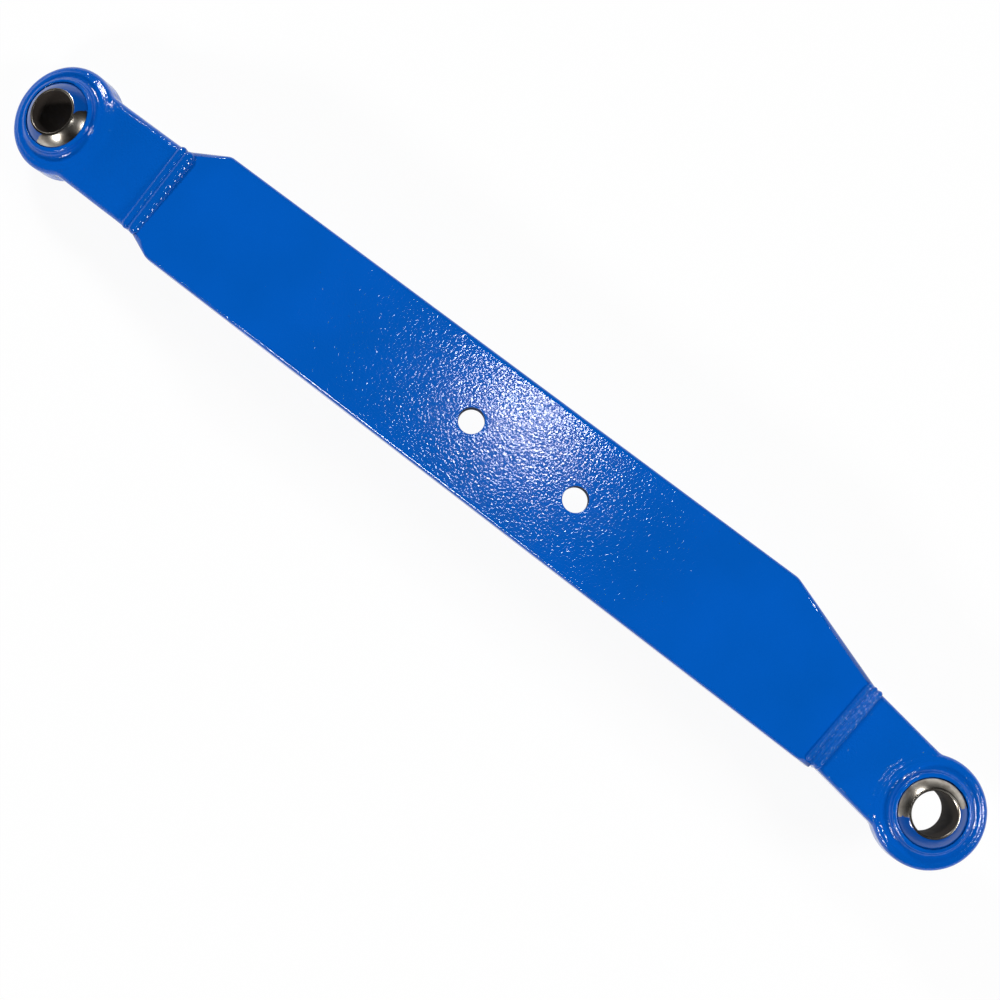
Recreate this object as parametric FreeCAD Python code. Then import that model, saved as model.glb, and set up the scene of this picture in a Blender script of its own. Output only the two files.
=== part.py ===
import FreeCAD, Part
import math
import os

# Tractor lower link: a flat bar arm with a forged ball end butt-welded to each of its
# ends. Millimetres. The origin is the centre of the front ball, +X runs along the arm
# to the rear ball, +Y across the arm's width and +Z out of its upper face.

# Swivel balls: a sphere cut off square at both sides, with a bore for the hitch pin
ball_diameter = 55.0
ball_width = 45.0
pin_bore_diameter = 28.7
bore_edge_chamfer = 0.4
ball_running_gap = 0.3

# Eye of each forged end, stepped down from its lip to its side, the same on both faces
lip_rise = 5.7
lip_flat_width = 2.2
lip_edge_chamfer = 1.2
groove_run = 3.7
shoulder_rise = 2.2
shoulder_width = 3.4
shoulder_turn_width = 4.4
shoulder_turn_height = 4.8

# Neck of each forged end
neck_width = 62.4
neck_thickness = 18.0
neck_edge_radius = 4.0
neck_root_radius = 10.0
front_neck_length = 89.15
rear_neck_length = 75.8
front_drop_angle = 20.8
front_sweep_angle = 1.4
front_twist_angle = 4.4
rear_sweep_angle = 8.0

# Arm: rolled flat bar, a little wider at the rear, its ends cut down to the necks
arm_length = 545.5
arm_thickness = 18.0
arm_front_width = 84.0
arm_rear_width = 91.6
arm_edge_radius = 3.0
arm_corner_radius = 6.0
arm_offset = 3.0
rear_neck_offset = 11.9
front_left_cut = 21.7
front_right_cut = 17.6
rear_left_cut = 77.9
rear_right_cut = 31.7
rear_right_cut_run = 17.0
end_step = 0.2
cut_end_step = 0.9

# Two bolt holes on the arm's centre line
hole_diameter = 17.0
hole_chamfer = 0.7
hole_distance = 243.6
hole_pitch = 82.2

# Double-V butt welds, with a raised bead all round each joint
weld_bead_width = 12.4
weld_bead_height = 2.4
weld_root_face = 3.0
groove_half_angle = 30.0

X_AXIS = FreeCAD.Vector(1, 0, 0)
Y_AXIS = FreeCAD.Vector(0, 1, 0)
Z_AXIS = FreeCAD.Vector(0, 0, 1)
ORIGIN = FreeCAD.Vector(0, 0, 0)


def point(x, y, z=0.0):
    return FreeCAD.Vector(x, y, z)


def arc(start, middle, end):
    return Part.Arc(start, middle, end).toShape()


def polygon_face(points):
    return Part.Face(Part.makePolygon(points + points[:1]))


def rounded_rectangle(half_width, half_height, radius):
    """Face in the YZ plane, centred on the origin."""
    rectangle = Part.makePlane(2 * half_width, 2 * half_height,
                               point(0, -half_width, -half_height), X_AXIS, Y_AXIS)
    box = rectangle.extrude(X_AXIS)
    along = [e for e in box.Edges if abs(e.tangentAt(e.FirstParameter).x) > 0.5]
    rounded = box.makeFillet(radius, along)
    return min(rounded.Faces, key=lambda f: f.CenterOfMass.x)


# Swivel ball

def swivel_ball():
    half = ball_width / 2
    bore = pin_bore_diameter / 2
    radius = ball_diameter / 2
    face_edge = math.sqrt(radius ** 2 - half ** 2)
    inside = [point(face_edge, 0, -half), point(bore + bore_edge_chamfer, 0, -half),
              point(bore, 0, -half + bore_edge_chamfer), point(bore, 0, half - bore_edge_chamfer),
              point(bore + bore_edge_chamfer, 0, half), point(face_edge, 0, half)]
    edges = [Part.makeLine(a, b) for a, b in zip(inside, inside[1:])]
    edges.append(arc(inside[-1], point(radius, 0), inside[0]))
    return Part.Face(Part.Wire(edges)).revolve(ORIGIN, Z_AXIS, 360)


# Forged end, in its own frame: eye centre at the origin, neck along +X, ball axis Z

neck_level = neck_thickness / 2
shoulder_height = neck_level + shoulder_rise
lip_height = shoulder_height + lip_rise
socket_radius = ball_diameter / 2 + ball_running_gap
socket_mouth_radius = math.sqrt(socket_radius ** 2 - lip_height ** 2)
lip_flat_radius = socket_mouth_radius + lip_flat_width
lip_side_radius = lip_flat_radius + lip_edge_chamfer
groove_radius = lip_side_radius + groove_run
shoulder_radius = groove_radius + shoulder_width
eye_outer_radius = shoulder_radius + shoulder_turn_width
eye_side_height = shoulder_height - shoulder_turn_height


def eye_section_upper():
    """Corners of the eye's section from the axis out to its side, above the middle plane.

    The hollow below the lip and the turn of the shoulder are each made of two flats
    that lie on a quarter circle.
    """
    near = 1 - math.sqrt(0.5)
    far = math.sqrt(0.5)
    return [
        point(0, 0, lip_height),
        point(lip_flat_radius, 0, lip_height),
        point(lip_side_radius, 0, lip_height - lip_edge_chamfer),
        point(lip_side_radius + near * groove_run, 0, shoulder_height + near * groove_run),
        point(groove_radius, 0, shoulder_height),
        point(shoulder_radius, 0, shoulder_height),
        point(shoulder_radius + far * shoulder_turn_width, 0,
              shoulder_height - near * shoulder_turn_height),
        point(eye_outer_radius, 0, eye_side_height),
    ]


def revolved(corners):
    """Solid of revolution about Z, with its seam away from the neck."""
    body = polygon_face(corners).revolve(ORIGIN, Z_AXIS, 360)
    body.rotate(ORIGIN, Z_AXIS, 180)
    return body


def eye_body():
    upper = eye_section_upper()
    lower = [point(p.x, 0, -p.z) for p in reversed(upper)]
    return revolved(upper + lower)


def neck_body(length):
    """Flat neck that runs into a disc inside the eye, with rounded roots and edges."""
    disc = eye_outer_radius - ball_running_gap
    half = neck_width / 2
    reach = disc + neck_root_radius
    root_x = math.sqrt(reach ** 2 - (half + neck_root_radius) ** 2)
    root_centre = point(root_x, half + neck_root_radius)
    on_disc = root_centre * (disc / reach)
    on_side = point(root_x, half)
    to_middle = (on_disc - root_centre) + (on_side - root_centre)
    root_middle = root_centre + to_middle.normalize() * neck_root_radius
    end = point(length, half)

    def other_side(p):
        return point(p.x, -p.y)

    edges = [
        arc(on_disc, point(-disc, 0), other_side(on_disc)),
        arc(other_side(on_disc), other_side(root_middle), other_side(on_side)),
        Part.makeLine(other_side(on_side), other_side(end)),
        Part.makeLine(other_side(end), end),
        Part.makeLine(end, on_side),
        arc(on_side, root_middle, on_disc),
    ]
    face = Part.Face(Part.Wire(edges))
    face.translate(Z_AXIS * (-neck_thickness / 2))
    plate = face.extrude(Z_AXIS * neck_thickness)
    rims = [e for e in plate.Edges if e.BoundBox.ZLength < 1e-6 and e.CenterOfMass.x < length - 1e-6]
    return plate.makeFillet(neck_edge_radius, rims)


def forged_end(length):
    """Eye and neck in one forging, with the spherical socket cut through."""
    run_out = weld_bead_width
    body = eye_body().fuse(neck_body(length + run_out)).removeSplitter()
    return body.cut(Part.makeSphere(socket_radius))


# Joint frames: origin on the neck's centre line, local X square to the joint,
# local Y along it and local Z through the thickness

def front_turn(share):
    """Share of the turn from the arm to the front end, which drops, sweeps and twists."""
    drop = FreeCAD.Rotation(Y_AXIS, -front_drop_angle * share)
    sweep = FreeCAD.Rotation(Z_AXIS, -front_sweep_angle * share)
    twist = FreeCAD.Rotation(X_AXIS, front_twist_angle * share)
    return drop.multiply(sweep).multiply(twist)


def front_joint():
    place = front_turn(1.0).multVec(point(front_neck_length, 0))
    return FreeCAD.Placement(place, front_turn(0.5))


def rear_joint():
    front = front_joint().Base
    place = point(front.x + arm_length, front.y + arm_offset - rear_neck_offset, front.z)
    return FreeCAD.Placement(place, FreeCAD.Rotation(Z_AXIS, -rear_sweep_angle / 2))


def rear_ball_centre():
    sweep = math.radians(rear_sweep_angle)
    return rear_joint().Base + point(math.cos(sweep), -math.sin(sweep)) * rear_neck_length


def placed(shape, placement):
    moved = shape.copy()
    moved.Placement = placement.multiply(moved.Placement)
    return moved


def behind_joint(side):
    """Block that covers everything on one side of a joint, +1 for its +X side."""
    size = 2 * arm_length
    start = 0.0 if side > 0 else -size
    return Part.makeBox(size, size, size, point(start, -size / 2, -size / 2))


def groove_wedges(half_length):
    """V grooves of the joint above and below its root face, as prisms along Y."""
    depth = arm_thickness
    half = depth * math.tan(math.radians(groove_half_angle))
    root = weld_root_face / 2
    upper = polygon_face([point(0, -half_length, root), point(half, -half_length, root + depth),
                          point(-half, -half_length, root + depth)])
    upper = upper.extrude(Y_AXIS * (2 * half_length))
    return upper.fuse(upper.mirror(ORIGIN, Z_AXIS))


# Arm

def arm_centre_y():
    return front_joint().Base.y + arm_offset


def left_edge_y(x):
    """Arm's left long edge, with its slight taper."""
    front_x = front_joint().Base.x + front_left_cut
    rear_x = rear_joint().Base.x - rear_left_cut
    share = (x - front_x) / (rear_x - front_x)
    return arm_centre_y() + (arm_front_width + (arm_rear_width - arm_front_width) * share) / 2


def right_edge_y(x):
    front_x = front_joint().Base.x + front_right_cut
    rear_x = rear_joint().Base.x - rear_right_cut
    share = (x - front_x) / (rear_x - front_x)
    return arm_centre_y() - (arm_front_width + (arm_rear_width - arm_front_width) * share) / 2


def extended(start, end, extra):
    """End point of the line from start through end, carried on by extra."""
    along = (end - start).normalize()
    return end + along * extra


def arm_outline():
    front = front_joint().Base
    rear = rear_joint().Base
    half = neck_width / 2
    run_out = weld_bead_width
    front_left = point(front.x + front_left_cut, left_edge_y(front.x + front_left_cut))
    front_right = point(front.x + front_right_cut, right_edge_y(front.x + front_right_cut))
    rear_left = point(rear.x - rear_left_cut, left_edge_y(rear.x - rear_left_cut))
    rear_right = point(rear.x - rear_right_cut, right_edge_y(rear.x - rear_right_cut))
    left_front_end = point(front.x, front.y + half + cut_end_step)
    right_front_end = point(front.x, front.y - half - end_step)
    left_rear_end = point(rear.x, rear.y + half + cut_end_step)
    right_rear_end = point(rear.x, rear.y - half - end_step)
    dressed = point(rear_right.x + rear_right_cut_run, right_rear_end.y)
    return [
        extended(front_left, left_front_end, run_out), front_left, rear_left,
        extended(rear_left, left_rear_end, run_out),
        extended(dressed, right_rear_end, run_out), dressed, rear_right, front_right,
        extended(front_right, right_front_end, run_out),
    ]


def arm_blank():
    outline = arm_outline()
    z_low = front_joint().Base.z - arm_thickness / 2
    face = polygon_face([point(p.x, p.y, z_low) for p in outline])
    blank = face.extrude(Z_AXIS * arm_thickness)
    ends = (outline[0], outline[3], outline[4], outline[8])
    corners = []
    for edge in blank.Edges:
        middle = edge.CenterOfMass
        upright = edge.BoundBox.ZLength > arm_thickness / 2
        if upright and all(math.hypot(middle.x - e.x, middle.y - e.y) > 1 for e in ends):
            corners.append(edge)
    blank = blank.makeFillet(arm_corner_radius, corners)
    first_x = max(outline[0].x, outline[8].x)
    last_x = min(outline[3].x, outline[4].x)
    rims = [e for e in blank.Edges
            if e.BoundBox.ZLength < 1e-6 and first_x < e.CenterOfMass.x < last_x]
    return blank.makeFillet(arm_edge_radius, rims)


def hole_centres():
    front = front_joint().Base
    first = point(front.x + hole_distance, arm_centre_y(), front.z)
    return [first, first + point(hole_pitch, 0)]


def hole_tool(centre):
    """Bolt hole with a small chamfer at both faces, as a cutter."""
    radius = hole_diameter / 2
    half = arm_thickness / 2
    drill = Part.makeCylinder(radius, 2 * arm_thickness, point(0, 0, -arm_thickness))
    cone = Part.makeCone(radius, radius + 2 * hole_chamfer, 2 * hole_chamfer,
                         point(0, 0, half - hole_chamfer))
    cutter = drill.fuse([cone, cone.mirror(ORIGIN, Z_AXIS)])
    cutter.translate(centre)
    return cutter


def arm_bar():
    bar = arm_blank()
    bar = bar.common(placed(behind_joint(1), front_joint()))
    bar = bar.common(placed(behind_joint(-1), rear_joint()))
    for joint in (front_joint(), rear_joint()):
        bar = bar.cut(placed(groove_wedges(arm_front_width), joint))
    for centre in hole_centres():
        bar = bar.cut(hole_tool(centre))
    return bar


def prepared_end(end, joint, side):
    """Forged end cut square at its joint, with its half of the weld grooves."""
    end = end.common(placed(behind_joint(side), joint))
    return end.cut(placed(groove_wedges(arm_front_width), joint))


def front_ball_end():
    placement = FreeCAD.Placement(ORIGIN, front_turn(1.0))
    return prepared_end(placed(forged_end(front_neck_length), placement), front_joint(), -1)


def rear_ball_end():
    placement = FreeCAD.Placement(rear_ball_centre(), FreeCAD.Rotation(Z_AXIS, 180 - rear_sweep_angle))
    return prepared_end(placed(forged_end(rear_neck_length), placement), rear_joint(), 1)


# Welds, in the joint's frame

def weld_core():
    """Half width, half height and corner radius of the outline that the bead follows."""
    return neck_width / 2 + end_step / 2, neck_thickness / 2, (arm_edge_radius + neck_edge_radius) / 2


def bead_section(start, outward):
    """Bead's section with its flat base at start, bulging outward.

    Its round has the bead's width and height at the plates' faces. It goes on down to
    the axis of the core's rounded corners, so that the toes also meet the plates where
    these slope away from the joint.
    """
    half = weld_bead_width / 2
    round_radius = (half ** 2 + weld_bead_height ** 2) / (2 * weld_bead_height)
    top = weld_bead_height + weld_core()[2]
    base_half = math.sqrt(round_radius ** 2 - (round_radius - top) ** 2)
    left = start - X_AXIS * base_half
    right = start + X_AXIS * base_half
    crown = arc(left, start + outward * top, right)
    return Part.Face(Part.Wire([crown, Part.makeLine(right, left)]))


def bead_ring():
    """Raised bead that runs right round the joint, with turned corners."""
    half_width, half_height, radius = weld_core()
    corner_y = half_width - radius
    corner_z = half_height - radius
    top = bead_section(point(0, -corner_y, corner_z), Z_AXIS).extrude(Y_AXIS * (2 * corner_y))
    side = bead_section(point(0, corner_y, -corner_z), Y_AXIS).extrude(Z_AXIS * (2 * corner_z))
    turn = bead_section(point(0, corner_y, corner_z), Y_AXIS)
    turn = turn.revolve(point(0, corner_y, corner_z), X_AXIS, 90)
    pieces = [top, side, turn, turn.mirror(ORIGIN, Y_AXIS)]
    pieces += [top.mirror(ORIGIN, Z_AXIS), side.mirror(ORIGIN, Y_AXIS)]
    pieces += [turn.mirror(ORIGIN, Z_AXIS), turn.mirror(ORIGIN, Y_AXIS).mirror(ORIGIN, Z_AXIS)]
    return pieces[0].fuse(pieces[1:]).removeSplitter()


def weld_sectors():
    """Prisms that part the ring into its four runs along the diagonals of its corners."""
    half_width, half_height, radius = weld_core()
    y = half_width - radius
    z = half_height - radius
    reach = weld_bead_width + neck_thickness
    top = [point(0, -y, 0), point(0, y, 0), point(0, y, z), point(0, y + reach, z + reach),
           point(0, -y - reach, z + reach), point(0, -y, z)]
    left = [point(0, y, -z), point(0, y + reach, -z - reach), point(0, y + reach, z + reach),
            point(0, y, z)]
    sectors = []
    for outline in (top, left):
        face = polygon_face(outline)
        face.translate(X_AXIS * -weld_bead_width)
        sectors.append(face.extrude(X_AXIS * (2 * weld_bead_width)))
    sector_top, sector_left = sectors
    return {
        "top": sector_top,
        "bottom": sector_top.mirror(ORIGIN, Z_AXIS),
        "left": sector_left,
        "right": sector_left.mirror(ORIGIN, Y_AXIS),
    }


def weld_runs(prefix, joint, plates):
    half_width, half_height, radius = weld_core()
    core = rounded_rectangle(half_width, half_height, radius)
    core.translate(X_AXIS * -weld_bead_width)
    core = core.extrude(X_AXIS * (2 * weld_bead_width))
    metal = bead_ring().fuse(groove_wedges(arm_front_width).common(core))
    runs = {}
    for name, sector in weld_sectors().items():
        run = placed(metal.common(sector), joint).cut(plates)
        runs[prefix + "_weld_" + name] = run.removeSplitter()
    return runs


def build():
    front_end = front_ball_end()
    rear_end = rear_ball_end()
    bar = arm_bar()
    front_tilt = FreeCAD.Placement(ORIGIN, front_turn(1.0))
    nodes = {
        "arm_bar": bar,
        "front_ball_end": front_end,
        "rear_ball_end": rear_end,
        "front_ball": placed(swivel_ball(), front_tilt),
        "rear_ball": placed(swivel_ball(), FreeCAD.Placement(rear_ball_centre(), FreeCAD.Rotation())),
    }
    nodes.update(weld_runs("front", front_joint(), [bar, front_end]))
    nodes.update(weld_runs("rear", rear_joint(), [bar, rear_end]))
    return nodes


def export(nodes):
    os.makedirs("parts", exist_ok=True)
    for name, shape in nodes.items():
        solid = shape.Solids[0]
        solid.exportStep(os.path.join("parts", name + ".step"))
        print(name, "solids", len(shape.Solids), "valid", solid.isValid(), "volume", round(solid.Volume))


export(build())
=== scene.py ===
import math

import bmesh
import bpy
from mathutils import Matrix, Vector


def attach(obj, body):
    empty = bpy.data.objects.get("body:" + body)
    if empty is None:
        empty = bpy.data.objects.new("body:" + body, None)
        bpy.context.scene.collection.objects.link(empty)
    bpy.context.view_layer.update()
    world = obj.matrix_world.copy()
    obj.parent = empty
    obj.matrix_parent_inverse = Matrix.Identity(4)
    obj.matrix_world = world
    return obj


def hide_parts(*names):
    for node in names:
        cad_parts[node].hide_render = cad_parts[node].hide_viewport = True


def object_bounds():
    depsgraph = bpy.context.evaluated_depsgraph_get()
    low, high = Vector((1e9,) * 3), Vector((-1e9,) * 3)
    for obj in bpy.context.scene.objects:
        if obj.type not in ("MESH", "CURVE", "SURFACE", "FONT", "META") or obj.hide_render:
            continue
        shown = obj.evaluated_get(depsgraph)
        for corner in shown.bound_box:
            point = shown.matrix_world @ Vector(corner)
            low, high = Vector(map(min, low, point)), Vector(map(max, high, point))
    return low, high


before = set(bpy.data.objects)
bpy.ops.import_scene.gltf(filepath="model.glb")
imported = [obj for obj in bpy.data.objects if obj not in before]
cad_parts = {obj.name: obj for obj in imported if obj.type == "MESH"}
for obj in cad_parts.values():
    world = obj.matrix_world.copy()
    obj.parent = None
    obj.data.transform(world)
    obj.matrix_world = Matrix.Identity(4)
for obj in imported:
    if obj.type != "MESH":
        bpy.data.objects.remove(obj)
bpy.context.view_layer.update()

MM = 0.001


# The camera hangs above the arm, a little towards the rear end of its front third, as the
# photographer stood over the part. A short tele lens, level with the arm's upper face.
camera_data = bpy.data.cameras.new("camera")
camera_data.sensor_width = 36
camera_data.lens = 75.93
camera = bpy.data.objects.new("camera", camera_data)
camera.location = (0.39134, -0.10062, 1.36279)
camera.rotation_euler = (math.radians(3.0198), math.radians(-1.2055), math.radians(37.1051))
bpy.context.collection.objects.link(camera)
bpy.context.scene.camera = camera
bpy.context.scene.view_settings.view_transform = "Standard"


# The studio: a pale floor under the front ball, walls that are bright near the floor and a
# dark ceiling, so that flat enamel that faces up mirrors nothing and keeps its full colour.
def linear(colour):
    """A written sRGB colour, such as "0A5AC0", as the linear values that Blender works in."""
    channels = [int(colour[i:i + 2], 16) / 255 for i in (0, 2, 4)]
    return [c / 12.92 if c <= 0.04045 else ((c + 0.055) / 1.055) ** 2.4 for c in channels] + [1.0]


def add_node(tree, kind, values=None, links=None, **settings):
    """Adds a node with its settings, socket values and incoming links."""
    new = tree.nodes.new(kind)
    for name, setting in settings.items():
        setattr(new, name, setting)
    for socket, value in (values or {}).items():
        new.inputs[socket].default_value = value
    for socket, source in (links or {}).items():
        tree.links.new(source, new.inputs[socket])
    return new


def empty_material(name):
    material = bpy.data.materials.new(name)
    material.use_nodes = True
    material.node_tree.nodes.clear()
    return material, material.node_tree


def ramp(tree, source, stops, interpolation="LINEAR"):
    """Colour ramp on a value, from a list of position and grey level or linear colour."""
    new = add_node(tree, "ShaderNodeValToRGB", links={"Fac": source})
    new.color_ramp.interpolation = interpolation
    while len(new.color_ramp.elements) < len(stops):
        new.color_ramp.elements.new(0.5)
    for element, (position, level) in zip(new.color_ramp.elements, stops):
        element.position = position
        element.color = level if isinstance(level, list) else (level, level, level, 1)
    return new.outputs["Color"]


floor_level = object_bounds()[0][2] - 0.6 * MM
bpy.ops.object.select_all(action="DESELECT")
bpy.ops.mesh.primitive_plane_add(size=80, location=(0.35, 0, floor_level))
floor = bpy.context.object
floor.name = "studio_floor"
floor_paint, tree = empty_material("matt white studio floor")
diffuse = add_node(tree, "ShaderNodeBsdfDiffuse", {"Color": linear("F6F6F6")})
glow = add_node(tree, "ShaderNodeEmission", {"Color": (1, 1, 1, 1), "Strength": 1.0})
path = add_node(tree, "ShaderNodeLightPath")
seen = add_node(tree, "ShaderNodeMath", links={0: path.outputs["Is Camera Ray"],
                                               1: path.outputs["Is Glossy Ray"]}, operation="MAXIMUM")
seen = add_node(tree, "ShaderNodeMath", links={0: seen.outputs[0],
                                               1: path.outputs["Is Transmission Ray"]},
                operation="MAXIMUM")
share = add_node(tree, "ShaderNodeMath", {1: 0.93}, {0: seen.outputs[0]}, operation="MULTIPLY")
mixed = add_node(tree, "ShaderNodeMixShader", links={0: share.outputs[0], 1: diffuse.outputs[0],
                                                     2: glow.outputs[0]})
add_node(tree, "ShaderNodeOutputMaterial", links={"Surface": mixed.outputs[0]})
floor.data.materials.append(floor_paint)

world = bpy.data.worlds.new("studio walls and ceiling")
bpy.context.scene.world = world
world.use_nodes = True
tree = world.node_tree
tree.nodes.clear()
direction = add_node(tree, "ShaderNodeTexCoord")
height = add_node(tree, "ShaderNodeSeparateXYZ", links={0: direction.outputs["Generated"]})
wall = ramp(tree, height.outputs["Z"], [(0.0, 0.6), (0.1, 0.32), (0.35, 0.0)])
background = add_node(tree, "ShaderNodeBackground", {"Strength": 1.0}, {"Color": wall})
add_node(tree, "ShaderNodeOutputWorld", links={"Surface": background.outputs[0]})


def softbox(name, place, aim, width, height, radiance):
    """Rectangular lamp at place that faces aim, with the brightness of its own surface."""
    data = bpy.data.lights.new(name, "AREA")
    data.shape = "RECTANGLE"
    data.size = width
    data.size_y = height
    data.energy = radiance * width * height * math.pi
    lamp = bpy.data.objects.new(name, data)
    lamp.location = place
    lamp.rotation_euler = (Vector(aim) - Vector(place)).to_track_quat("-Z", "Y").to_euler()
    bpy.context.collection.objects.link(lamp)


arm_middle = (0.35, 0.0, 0.02)
softbox("lamp_beside_camera", (0.31, 0.189, 1.611), arm_middle, 0.11, 0.09, 41.0)
softbox("lamp_left", (-1.5, 1.25, 1.5), arm_middle, 0.5, 0.4, 64.0)
softbox("lamp_right", (1.9, 0.6, 1.5), arm_middle, 0.6, 0.45, 30.0)
softbox("lamp_near", (0.1, -2.1, 1.6), arm_middle, 0.6, 0.45, 43.0)


# The arm itself: a length of 18 mm rolled flat steel bar, 84 mm wide at its front and a
# little wider at its rear, gas-cut at its ends down to the necks of the forged ends, drilled
# for two bolts and enamelled with all the rest.
def start_piece(name):
    """Names the primitive that was just added and opens it in edit mode."""
    piece = bpy.context.object
    piece.name = name
    piece.data.name = name
    bpy.ops.object.transform_apply(location=True, rotation=True, scale=True)
    bpy.ops.object.mode_set(mode="EDIT")
    bpy.ops.mesh.select_mode(type="VERT")
    return piece


def pick(kind, test):
    """Selects only the vertices, edges or faces of the piece in edit mode that pass a test."""
    bpy.ops.mesh.select_mode(type=kind)
    bpy.ops.mesh.select_all(action="DESELECT")
    data = bpy.context.object.data
    mesh = bmesh.from_edit_mesh(data)
    for element in {"VERT": mesh.verts, "EDGE": mesh.edges, "FACE": mesh.faces}[kind]:
        if test(element):
            element.select_set(True)
    mesh.select_flush_mode()
    bmesh.update_edit_mesh(data)


def cut_off(place, outward):
    """Cuts the piece in edit mode by a plane and closes it, dropping what lies outward."""
    bpy.ops.mesh.select_all(action="SELECT")
    bpy.ops.mesh.bisect(plane_co=place, plane_no=outward, use_fill=True, clear_outer=True)


def apply_modifier(piece, kind, **settings):
    modifier = piece.modifiers.new(kind.lower(), kind)
    for name, setting in settings.items():
        setattr(modifier, name, setting)
    bpy.context.view_layer.objects.active = piece
    bpy.ops.object.modifier_apply(modifier=modifier.name)


def cut_hollow(piece, cutter):
    apply_modifier(piece, "BOOLEAN", operation="DIFFERENCE", object=cutter, solver="EXACT")
    bpy.data.objects.remove(cutter)


def front_turn(share):
    """Share of the turn from the bar to the front end, which drops, sweeps and twists."""
    drop = Matrix.Rotation(math.radians(-20.8 * share), 4, "Y")
    sweep = Matrix.Rotation(math.radians(-1.4 * share), 4, "Z")
    twist = Matrix.Rotation(math.radians(4.4 * share), 4, "X")
    return drop @ sweep @ twist


bar_half_height = 9 * MM
front_joint = front_turn(1.0) @ Vector((89.15, 0, 0)) * MM
bar_middle_y = front_joint.y + 3 * MM
rear_joint = Vector((front_joint.x + 545.5 * MM, bar_middle_y - 11.9 * MM, front_joint.z))
arm_level = front_joint.z


def bar_corner(joint, along, across_from, across):
    """Corner of the bar, in mm along from a joint and across from a line."""
    return Vector((joint.x + along * MM, across_from + across * MM, arm_level))


bar_corners = {
    "front left": bar_corner(front_joint, 21.7, bar_middle_y, 42.0),
    "front right": bar_corner(front_joint, 17.6, bar_middle_y, -42.0),
    "rear left": bar_corner(rear_joint, -77.9, bar_middle_y, 45.8),
    "rear right": bar_corner(rear_joint, -31.7, bar_middle_y, -45.8),
    "front left end": bar_corner(front_joint, 0, front_joint.y, 32.1),
    "front right end": bar_corner(front_joint, 0, front_joint.y, -31.4),
    "rear left end": bar_corner(rear_joint, 0, rear_joint.y, 32.1),
    "rear right dressed": bar_corner(rear_joint, -14.7, rear_joint.y, -31.4),
}

bpy.ops.object.select_all(action="DESELECT")
dressed = bar_corners["rear right dressed"]
blank_start = front_joint.x - 5 * MM
bpy.ops.mesh.primitive_cube_add(size=1, location=((blank_start + dressed.x) / 2, 0, arm_level),
                                scale=(dressed.x - blank_start, 110 * MM, 2 * bar_half_height))
arm_plate = start_piece("arm_plate")
sides = [("front left", "rear left"), ("front left end", "front left"), ("rear left", "rear left end"),
         ("rear right", "front right"), ("front right", "front right end"),
         ("rear right dressed", "rear right")]
for first, second in sides:
    along = bar_corners[second] - bar_corners[first]
    cut_off(bar_corners[first], (-along.y, along.x, 0))
pick("FACE", lambda face: face.normal.x > 0.99)
stub = 24 * MM
bpy.ops.mesh.extrude_region_move(TRANSFORM_OT_translate={"value": (stub, 0, 0)})
slope = (bar_corners["rear left end"] - bar_corners["rear left"])
pick("VERT", lambda vert: vert.co.x > dressed.x + stub / 2 and vert.co.y > 0)
bpy.ops.transform.translate(value=(0, stub * slope.y / slope.x, 0))
sweep = math.radians(4)
cut_off(rear_joint, (math.cos(sweep), -math.sin(sweep), 0))
towards_bar = front_turn(0.5) @ Vector((1, 0, 0))
cut_off(front_joint, -towards_bar)
bpy.ops.mesh.select_all(action="SELECT")
bpy.ops.mesh.dissolve_limited(angle_limit=math.radians(0.2))


def is_corner(edge):
    """True for an upright edge of the bar's outline away from its two welded ends."""
    upright = abs(edge.verts[0].co.z - edge.verts[1].co.z) > bar_half_height
    return upright and 95 * MM < edge.verts[0].co.x < 620 * MM


def is_rim(edge):
    """True for an edge round the upper or lower face, away from the welded ends."""
    level = all(abs(abs(v.co.z - arm_level) - bar_half_height) < 1e-6 for v in edge.verts)
    at_front = all(v.co.x < 88 * MM for v in edge.verts)
    at_rear = all(v.co.x > 623 * MM for v in edge.verts)
    return level and len(edge.link_faces) == 2 and edge.calc_face_angle() > 1 \
        and not at_front and not at_rear


pick("EDGE", is_corner)
bpy.ops.mesh.bevel(offset=1.8 * MM, segments=4, affect="EDGES")
pick("EDGE", is_rim)
bpy.ops.mesh.bevel(offset=3 * MM, segments=7, affect="EDGES")
bpy.ops.object.mode_set(mode="OBJECT")

hole_radius = 8.5 * MM
hole_places = [front_joint.x + 243.6 * MM, front_joint.x + 325.8 * MM]
for hole_x in hole_places:
    bpy.ops.object.select_all(action="DESELECT")
    bpy.ops.mesh.primitive_cylinder_add(vertices=72, radius=hole_radius, depth=40 * MM,
                                        location=(hole_x, bar_middle_y, arm_level))
    drill = start_piece("drill")
    bpy.ops.object.mode_set(mode="OBJECT")
    cut_hollow(arm_plate, drill)


def is_hole_rim(edge):
    centre_x = min(hole_places, key=lambda x: abs(edge.verts[0].co.x - x))
    return all(abs(math.hypot(v.co.x - centre_x, v.co.y - bar_middle_y) - hole_radius) < 0.02 * MM
               and abs(abs(v.co.z - arm_level) - bar_half_height) < 1e-6 for v in edge.verts)


bpy.ops.object.select_all(action="DESELECT")
bpy.context.view_layer.objects.active = arm_plate
arm_plate.select_set(True)
bpy.ops.object.mode_set(mode="EDIT")
pick("EDGE", is_hole_rim)
bpy.ops.mesh.bevel(offset=0.7 * MM, segments=3, affect="EDGES")
bpy.ops.object.mode_set(mode="OBJECT")
bpy.ops.object.shade_smooth()
apply_modifier(arm_plate, "WEIGHTED_NORMAL", keep_sharp=True, weight=90)


# Blue machinery enamel, sprayed wet over the whole welded arm after the balls were pressed
# in: a full gloss coat with the pebbled skin that thick enamel dries to. It shows as plain
# deep blue where it mirrors nothing and as a field of white pebbles where it meets a lamp.

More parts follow.
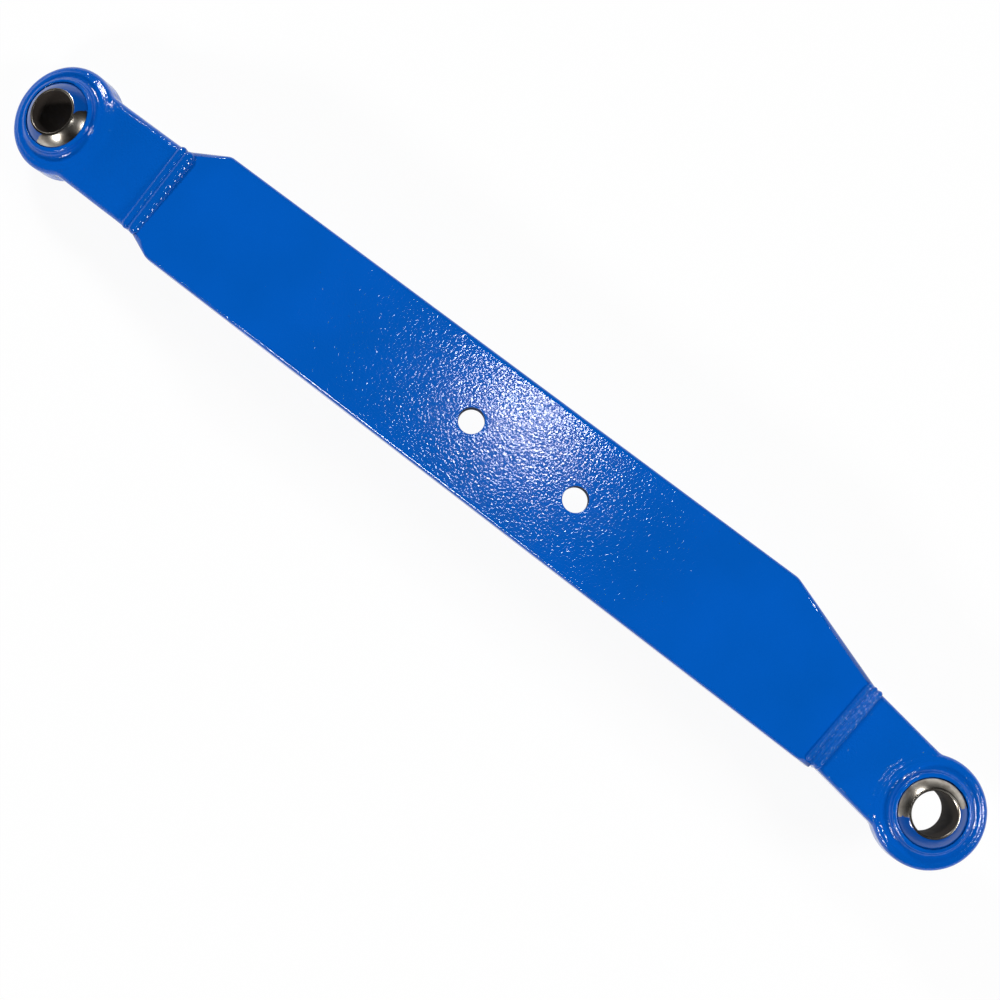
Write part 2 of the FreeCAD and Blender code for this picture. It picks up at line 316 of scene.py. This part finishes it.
def enamel(name, lump_height, thin="0256B5", thick="035ABF", pebble_height=0.09):
    """Blue enamel over one kind of steel surface, lump_height being its unevenness in mm."""
    material, tree = empty_material(name)
    place = add_node(tree, "ShaderNodeTexCoord").outputs["Object"]
    # The skin's pebbles are about 2 mm across and a few hundredths of a millimetre high
    peel = add_node(tree, "ShaderNodeTexNoise", {"Scale": 640.0, "Detail": 0.4, "Roughness": 0.5,
                                                 "Distortion": 0.6}, {"Vector": place})
    lumps = add_node(tree, "ShaderNodeTexNoise", {"Scale": 110.0, "Detail": 1.0}, {"Vector": place})
    skin = add_node(tree, "ShaderNodeBump", {"Strength": 1.0, "Distance": pebble_height * MM},
                    {"Height": peel.outputs["Fac"]})
    shape = add_node(tree, "ShaderNodeBump", {"Strength": 1.0, "Distance": lump_height * MM},
                     {"Height": lumps.outputs["Fac"], "Normal": skin.outputs["Normal"]})
    # A coat that is a shade thinner here and there, over patches some 60 mm across
    thickness = add_node(tree, "ShaderNodeTexNoise", {"Scale": 16.0, "Detail": 3.0}, {"Vector": place})
    colour = ramp(tree, thickness.outputs["Fac"], [(0.3, linear(thin)), (0.7, linear(thick))])
    gloss = add_node(tree, "ShaderNodeMapRange", {"To Min": 0.06, "To Max": 0.09},
                     {"Value": thickness.outputs["Fac"]})
    paint = add_node(tree, "ShaderNodeBsdfPrincipled", {"Metallic": 0.0, "IOR": 1.5},
                     {"Base Color": colour, "Roughness": gloss.outputs["Result"],
                      "Normal": shape.outputs["Normal"]})
    add_node(tree, "ShaderNodeOutputMaterial", links={"Surface": paint.outputs["BSDF"]})
    return material


# Inside the bolt holes the drilled steel is coloured a very dark blue without gloss: painted
# shade for the unlit hole walls
hole_wall_painted_shade, tree = empty_material("very dark matt blue painted shade on drilled steel")
place = add_node(tree, "ShaderNodeTexCoord").outputs["Object"]
speckle = add_node(tree, "ShaderNodeTexNoise", {"Scale": 900.0, "Detail": 3.0}, {"Vector": place})
painted_shade_colour = ramp(tree, speckle.outputs["Fac"], [(0.35, linear("050D1C")), (0.65, linear("08264F"))])
rough = add_node(tree, "ShaderNodeBump", {"Strength": 1.0, "Distance": 0.03 * MM},
                 {"Height": speckle.outputs["Fac"]})
painted_shade_paint = add_node(tree, "ShaderNodeBsdfPrincipled", {"Roughness": 0.85, "Specular IOR Level": 0.15},
                     {"Base Color": painted_shade_colour, "Normal": rough.outputs["Normal"]})
add_node(tree, "ShaderNodeOutputMaterial", links={"Surface": painted_shade_paint.outputs["BSDF"]})


def is_hole_wall(face):
    middle = face.calc_center_median()
    return abs(face.normal.z) < 0.1 and any(
        math.hypot(middle.x - x, middle.y - bar_middle_y) < hole_radius + 0.1 * MM for x in hole_places)


arm_plate.data.materials.clear()
arm_plate.data.materials.append(enamel("gloss enamel over rolled steel bar", 0.05))
# The second slot holds the painted shade on the bolt hole walls
arm_plate.data.materials.append(hole_wall_painted_shade)
bpy.ops.object.mode_set(mode="EDIT")
pick("FACE", is_hole_wall)
arm_plate.active_material_index = 1
bpy.ops.object.material_slot_assign()
bpy.ops.object.mode_set(mode="OBJECT")
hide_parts("arm_bar")
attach(arm_plate, "arm")


# The two forged ends: each is a drop forging, an eye with a raised lip round its socket, a
# stepped shoulder and a flat neck, both from the same die and cut to their own lengths. The
# drawn-down lip holds the ball; the neck is butt-welded to the bar.
def grow(radii_and_heights):
    """Extrudes the ring that is selected through a list of radii and heights in mm."""
    for (radius, height), (wider, higher) in zip(radii_and_heights, radii_and_heights[1:]):
        bpy.ops.mesh.extrude_region_move(
            TRANSFORM_OT_translate={"value": (0, 0, (higher - height) * MM)})
        bpy.ops.transform.resize(value=(wider / radius, wider / radius, 1),
                                 center_override=(0, 0, higher * MM))


def rounded(centre, radius_across, radius_up, first, last, steps):
    """Points of radius and height along an arc about centre, its angles in degrees."""
    angles = [math.radians(first + (last - first) * i / steps) for i in range(steps + 1)]
    return [(centre[0] + radius_across * math.cos(a), centre[1] + radius_up * math.sin(a))
            for a in angles]


bpy.ops.object.select_all(action="DESELECT")
bpy.ops.mesh.primitive_circle_add(vertices=180, radius=36.7 * MM, fill_type="NOTHING")
forging = start_piece("forging")
bpy.ops.mesh.select_all(action="SELECT")
eye_steps = [(36.7, 0)] + rounded((31.9, 6.2), 4.8, 4.4, 0, 62, 8)
eye_steps += rounded((31.0, 9.3), 1.8, 1.8, 40, 90, 6) + [(29.2, 11.1)] + rounded((29.2, 14.8), 3.7, 3.7, 265, 185, 6)
eye_steps += rounded((23.1, 15.2), 2.4, 1.7, 0, 90, 6) + [(12, 16.9)]
grow(eye_steps)
bpy.ops.mesh.edge_face_add()
bpy.ops.object.mode_set(mode="OBJECT")
apply_modifier(forging, "MIRROR", use_axis=(False, False, True), use_mirror_merge=True,
               merge_threshold=0.001 * MM)

bpy.ops.object.select_all(action="DESELECT")
neck_start = 18.4
neck_end = 105
neck_half_width = 31.2
bpy.ops.mesh.primitive_cube_add(size=1, location=((neck_start + neck_end) / 2 * MM, 0, 0),
                                scale=((neck_end - neck_start) * MM, 2 * neck_half_width * MM, 18 * MM))
neck = start_piece("neck")
root_radius = 10
root_x = math.sqrt((36.7 + root_radius) ** 2 - (neck_half_width + root_radius) ** 2)
for distance in (4.0, 3.0, 2.0, 1.2, 0.5, 0.0):
    bpy.ops.mesh.select_all(action="SELECT")
    bpy.ops.mesh.bisect(plane_co=((root_x - distance) * MM, 0, 0), plane_no=(1, 0, 0))
for distance in (root_x - neck_start, 4.0, 3.0, 2.0, 1.2, 0.5):
    half_width = neck_half_width + root_radius - math.sqrt(root_radius ** 2 - distance ** 2)
    pick("VERT", lambda vert: abs(vert.co.x - (root_x - distance) * MM) < 1e-6)
    bpy.ops.transform.resize(value=(1, half_width / neck_half_width, 1), center_override=(0, 0, 0))
pick("EDGE", lambda edge: all(abs(v.co.y) > 30 * MM for v in edge.verts)
     and abs(edge.verts[0].co.x - edge.verts[1].co.x) > 0.1 * MM)
bpy.ops.mesh.bevel(offset=4 * MM, segments=6, affect="EDGES")
bpy.ops.object.mode_set(mode="OBJECT")
apply_modifier(forging, "BOOLEAN", operation="UNION", object=neck, solver="EXACT")
bpy.data.objects.remove(neck)

bpy.ops.object.select_all(action="DESELECT")
bpy.ops.mesh.primitive_circle_add(vertices=180, radius=39.5 * MM, fill_type="NOTHING")
fillet = start_piece("fillet")
bpy.ops.mesh.select_all(action="SELECT")
grow([(39.5, 0), (39.5, 9)] + rounded((39.5, 11.4), 5.5, 2.4, 260, 212, 8) + [(12, 10.1)])
bpy.ops.mesh.edge_face_add()
bpy.ops.object.mode_set(mode="OBJECT")
apply_modifier(fillet, "MIRROR", use_axis=(False, False, True), use_mirror_merge=True,
               merge_threshold=0.001 * MM)
bpy.ops.object.mode_set(mode="EDIT")
cut_off((18.4 * MM, 0, 0), (-1, 0, 0))
for side in (1, -1):
    cut_off((0, side * 30.5 * MM, 0), (0, side, 0))
    for face in (1, -1):
        cut_off((0, side * 27 * MM, face * 9 * MM), (0, side, face * 1.5))
bpy.ops.object.mode_set(mode="OBJECT")
apply_modifier(forging, "BOOLEAN", operation="UNION", object=fillet, solver="EXACT")
bpy.data.objects.remove(fillet)

bpy.ops.object.select_all(action="DESELECT")
bpy.ops.mesh.primitive_uv_sphere_add(segments=128, ring_count=64, radius=27.8 * MM)
socket = start_piece("socket")
bpy.ops.object.mode_set(mode="OBJECT")
cut_hollow(forging, socket)

# The hammered skin of the forging, as the enamel shows it: soft edges, faint dents
apply_modifier(forging, "REMESH", mode="VOXEL", voxel_size=0.6 * MM)
apply_modifier(forging, "SMOOTH", factor=0.5, iterations=2)
dents = bpy.data.textures.new("forging dents", "CLOUDS")
dents.noise_scale = 9 * MM
apply_modifier(forging, "DISPLACE", texture=dents, texture_coords="LOCAL", strength=0.16 * MM,
               mid_level=0.75)

forged_steel = enamel("gloss enamel over forged steel", 0.16, "0256B5", "035ABF", 0.2)
rear_eye = rear_joint + Vector((math.cos(2 * sweep), -math.sin(2 * sweep), 0)) * 75.8 * MM
ends = [
    ("front_forging", "front_ball_end", front_turn(1.0), front_joint, towards_bar),
    ("rear_forging", "rear_ball_end",
     Matrix.Translation(rear_eye) @ Matrix.Rotation(math.radians(172), 4, "Z"),
     rear_joint, (-math.cos(sweep), math.sin(sweep), 0)),
]
for name, cad_node, placing, joint, past_joint in ends:
    bpy.ops.object.select_all(action="DESELECT")
    end = forging.copy()
    end.data = forging.data.copy()
    end.name = name
    end.data.name = name
    bpy.context.collection.objects.link(end)
    end.matrix_world = placing
    end.select_set(True)
    bpy.context.view_layer.objects.active = end
    bpy.ops.object.transform_apply(location=True, rotation=True, scale=True)
    bpy.ops.object.mode_set(mode="EDIT")
    cut_off(joint, past_joint)
    bpy.ops.object.mode_set(mode="OBJECT")
    bpy.ops.object.shade_smooth()
    end.data.materials.clear()
    end.data.materials.append(forged_steel)
    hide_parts(cad_node)
    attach(end, "arm")
bpy.data.objects.remove(forging)


# The swivel balls: turned and ground from bearing steel, 55 mm across and 45 mm wide, bored
# for a category 2 pin. They were in their sockets when the arm was sprayed, so enamel lies
# on part of each; the rest is bare steel with faint turning marks. The bore is coloured a
# matt dark brown, which is painted shade.
def ball_steel(name, turn_back, bare_side, bare_width):
    """Steel with overspray; bare_side is the direction of the bare part, in degrees."""
    material, tree = empty_material(name)
    place = add_node(tree, "ShaderNodeTexCoord").outputs["Object"]
    own = add_node(tree, "ShaderNodeMapping", {"Location": turn_back[0], "Rotation": turn_back[1]},
                   {"Vector": place}).outputs["Vector"]
    split = add_node(tree, "ShaderNodeSeparateXYZ", links={0: own})
    flat = add_node(tree, "ShaderNodeVectorMath", {1: (1, 1, 0)}, {0: own}, operation="MULTIPLY")
    radius = add_node(tree, "ShaderNodeVectorMath", links={0: flat.outputs[0]}, operation="LENGTH")
    turning = add_node(tree, "ShaderNodeTexNoise", {"Scale": 2200.0, "Detail": 2.0},
                       {"Vector": split.outputs["Z"]}, noise_dimensions="3D")
    stain = add_node(tree, "ShaderNodeTexNoise", {"Scale": 120.0, "Detail": 4.0}, {"Vector": own})
    away = Vector((math.cos(math.radians(bare_side)), math.sin(math.radians(bare_side)), 0))
    side = add_node(tree, "ShaderNodeVectorMath", {1: away / (20 * MM)}, {0: own},
                    operation="DOT_PRODUCT")
    ragged = add_node(tree, "ShaderNodeMath", {1: 0.9}, {0: stain.outputs["Fac"]}, operation="MULTIPLY")
    reach = add_node(tree, "ShaderNodeMath", links={0: side.outputs["Value"], 1: ragged.outputs[0]},
                     operation="ADD")
    coated = ramp(tree, reach.outputs[0], [(bare_width, 1.0), (bare_width + 0.04, 0.0)])
    # Inside radius 14.5 mm is the bore, which gets painted shade
    in_bore = add_node(tree, "ShaderNodeMath", {1: 14.5 * MM}, {0: radius.outputs["Value"]},
                       operation="LESS_THAN")
    dry = add_node(tree, "ShaderNodeMath", {1: 15.9 * MM}, {0: radius.outputs["Value"]},
                   operation="GREATER_THAN")
    coated = add_node(tree, "ShaderNodeMath", links={0: coated, 1: dry.outputs[0]},
                      operation="MULTIPLY")
    steel_colour = ramp(tree, stain.outputs["Fac"], [(0.35, linear("8C8378")), (0.6, linear("C4BEB4"))])
    return material, tree, own, coated, steel_colour, turning, in_bore


def finish_ball_steel(parts):
    material, tree, own, coated, steel_colour, turning, in_bore = parts
    marks = add_node(tree, "ShaderNodeBump", {"Strength": 0.25, "Distance": 0.02 * MM},
                     {"Height": turning.outputs["Fac"]})
    peel = add_node(tree, "ShaderNodeTexNoise", {"Scale": 330.0, "Detail": 2.0}, {"Vector": own})
    skin = add_node(tree, "ShaderNodeBump", {"Strength": 1.0, "Distance": 0.12 * MM},
                    {"Height": peel.outputs["Fac"]})
    steel = add_node(tree, "ShaderNodeBsdfPrincipled", {"Metallic": 1.0, "Roughness": 0.24},
                     {"Base Color": steel_colour, "Normal": marks.outputs["Normal"]})
    # Inside the bore the colour is a matt dark brown: painted shade for the deep bore
    bore_painted_shade = add_node(tree, "ShaderNodeBsdfPrincipled",
                      {"Base Color": linear("38322D"), "Roughness": 0.8, "Specular IOR Level": 0.12},
                      {"Normal": marks.outputs["Normal"]})
    uncoated = add_node(tree, "ShaderNodeMixShader", links={0: in_bore.outputs[0], 1: steel.outputs[0],
                                                            2: bore_painted_shade.outputs[0]})
    # The enamel on the balls is a darker blue than the arm's enamel: painted shade
    paint = add_node(tree, "ShaderNodeBsdfPrincipled",
                     {"Base Color": linear("04489A"), "Roughness": 0.12, "IOR": 1.5},
                     {"Normal": skin.outputs["Normal"]})
    both = add_node(tree, "ShaderNodeMixShader", links={0: coated.outputs[0], 1: uncoated.outputs[0],
                                                        2: paint.outputs[0]})
    add_node(tree, "ShaderNodeOutputMaterial", links={"Surface": both.outputs[0]})
    return material


bpy.ops.object.select_all(action="DESELECT")
bpy.ops.mesh.primitive_circle_add(vertices=160, radius=27.5 * MM, fill_type="NOTHING")
ball = start_piece("ball")
bpy.ops.mesh.select_all(action="SELECT")
face_angle = math.degrees(math.asin(22.5 / 27.5))
ball_steps = rounded((0, 0), 27.5, 27.5, 0, face_angle - 0.4, 22)
ball_steps += [(15.6, 22.5), (14.85, 22.5), (14.5, 22.3), (14.35, 22.0), (14.35, 0)]
grow(ball_steps)
bpy.ops.object.mode_set(mode="OBJECT")
apply_modifier(ball, "MIRROR", use_axis=(False, False, True), use_mirror_merge=True,
               merge_threshold=0.001 * MM)
bpy.ops.object.mode_set(mode="EDIT")
bpy.ops.mesh.select_all(action="SELECT")
bpy.ops.mesh.normals_make_consistent(inside=False)
bpy.ops.object.mode_set(mode="OBJECT")

balls = [
    ("front_pin_ball", "front_ball", front_turn(1.0),
     ((0, 0, 0), front_turn(1.0).inverted().to_euler()), -25, 0.85),
    ("rear_pin_ball", "rear_ball", Matrix.Translation(rear_eye),
     (-rear_eye, (0, 0, 0)), 130, 0.45),
]
for name, cad_node, placing, turn_back, bare_side, bare_width in balls:
    bpy.ops.object.select_all(action="DESELECT")
    pin_ball = ball.copy()
    pin_ball.data = ball.data.copy()
    pin_ball.name = name
    pin_ball.data.name = name
    bpy.context.collection.objects.link(pin_ball)
    pin_ball.matrix_world = placing
    pin_ball.select_set(True)
    bpy.context.view_layer.objects.active = pin_ball
    bpy.ops.object.transform_apply(location=True, rotation=True, scale=True)
    bpy.ops.object.shade_smooth_by_angle(angle=math.radians(25))
    pin_ball.data.materials.clear()
    parts = ball_steel(name.replace("_", " ") + ", ground steel", turn_back, bare_side, bare_width)
    pin_ball.data.materials.append(finish_ball_steel(parts))
    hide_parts(cad_node)
    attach(pin_ball, cad_node)
bpy.data.objects.remove(ball)


# The butt welds: each end is joined to the bar by two passes of arc weld side by side, laid
# all the way round, with the ripples that each puddle leaves as it sets. Every side of the
# joint has its own run, and the runs meet at the rounded edges.
def puddle_places(side, half_width, half_height, radius, pitch):
    """Places of the puddles along one side of the joint: y, z and the way they face."""
    corner_y = half_width - radius
    corner_z = half_height - radius
    if side in ("top", "bottom"):
        count = round(2 * corner_y / pitch)
        row = [(-corner_y + 2 * corner_y * i / count, corner_z + radius, 0.0)
               for i in range(count + 1)]
        for turn in (20.0, 40.0):
            a = math.radians(turn)
            across = corner_y + radius * math.sin(a)
            row.append((across, corner_z + radius * math.cos(a), turn))
            row.append((-across, corner_z + radius * math.cos(a), -turn))
    else:
        count = round(2 * corner_z / pitch)
        row = [(corner_y + radius, -corner_z + 2 * corner_z * i / count, 90.0)
               for i in range(count + 1)]
        for turn in (70.0, 50.0):
            a = math.radians(turn)
            up = corner_z + radius * math.cos(a)
            row.append((corner_y + radius * math.sin(a), up, turn))
            row.append((corner_y + radius * math.sin(a), -up, 180 - turn))
    turned = {"top": 0, "left": 0, "bottom": 180, "right": 180}[side]
    return row, Matrix.Rotation(math.radians(turned), 4, "X")


bpy.ops.object.select_all(action="DESELECT")
bpy.ops.mesh.primitive_uv_sphere_add(segments=24, ring_count=14, radius=1 * MM)
puddle = start_piece("puddle")
bpy.ops.object.mode_set(mode="OBJECT")

welded_steel = enamel("gloss enamel over weld beads", 0.06, "0254B1", "0359BB", 0.13)
# Passes of each joint in mm: place across the joint, half width and rise over the plates
joints = [
    ("front", Matrix.Translation(front_joint) @ front_turn(0.5),
     [(-3.7, 3.5, 1.5), (2.4, 4.4, 2.5)]),
    ("rear", Matrix.Translation(rear_joint) @ Matrix.Rotation(math.radians(-4), 4, "Z"),
     [(-3.8, 2.8, 2.6), (0.2, 2.5, 1.7), (3.9, 2.7, 2.2)]),
]
puddle_sink = 1.6
puddle_half_length = 4.2
puddle_lean = math.radians(5)
side_share = 0.25
for which, placing, passes in joints:
    for side in ("top", "bottom", "left", "right"):
        row, turn_over = puddle_places(side, 31.3 * MM, 9 * MM, 3.5 * MM, 1.6 * MM)
        puddles = []
        for number, (y, z, facing) in enumerate(row):
            for across, half_width, rise in passes:
                wander = 0.12 * math.sin(2.1 * number + 0.7 * across)
                spot = puddle.copy()
                spot.data = puddle.data.copy()
                bpy.context.collection.objects.link(spot)
                turned_away = abs(math.sin(math.radians(facing)))
                height = puddle_sink + rise * (1 - (1 - side_share) * turned_away)
                corner = abs(math.sin(math.radians(2 * facing)))
                length = puddle_half_length * (1 - 0.55 * corner)
                size = Matrix.Diagonal((half_width, length, height, 1))
                spot.matrix_world = (placing @ turn_over
                                     @ Matrix.Translation(((across + wander) * MM, y, z))
                                     @ Matrix.Rotation(math.radians(-facing), 4, "X")
                                     @ Matrix.Translation((0, 0, -puddle_sink * MM))
                                     @ Matrix.Rotation(puddle_lean, 4, "X") @ size)
                puddles.append(spot)
        bpy.ops.object.select_all(action="DESELECT")
        for spot in puddles:
            spot.select_set(True)
        bpy.context.view_layer.objects.active = puddles[0]
        bpy.ops.object.join()
        bead = bpy.context.object
        bead.name = which + "_" + side + "_bead"
        bead.data.name = bead.name
        bpy.ops.object.transform_apply(location=True, rotation=True, scale=True)
        apply_modifier(bead, "REMESH", mode="VOXEL", voxel_size=0.32 * MM)
        apply_modifier(bead, "SMOOTH", factor=0.5, iterations=4)
        bpy.ops.object.shade_smooth()
        bead.data.materials.clear()
        bead.data.materials.append(welded_steel)
        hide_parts(which + "_weld_" + side)
        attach(bead, "arm")
bpy.data.objects.remove(puddle)
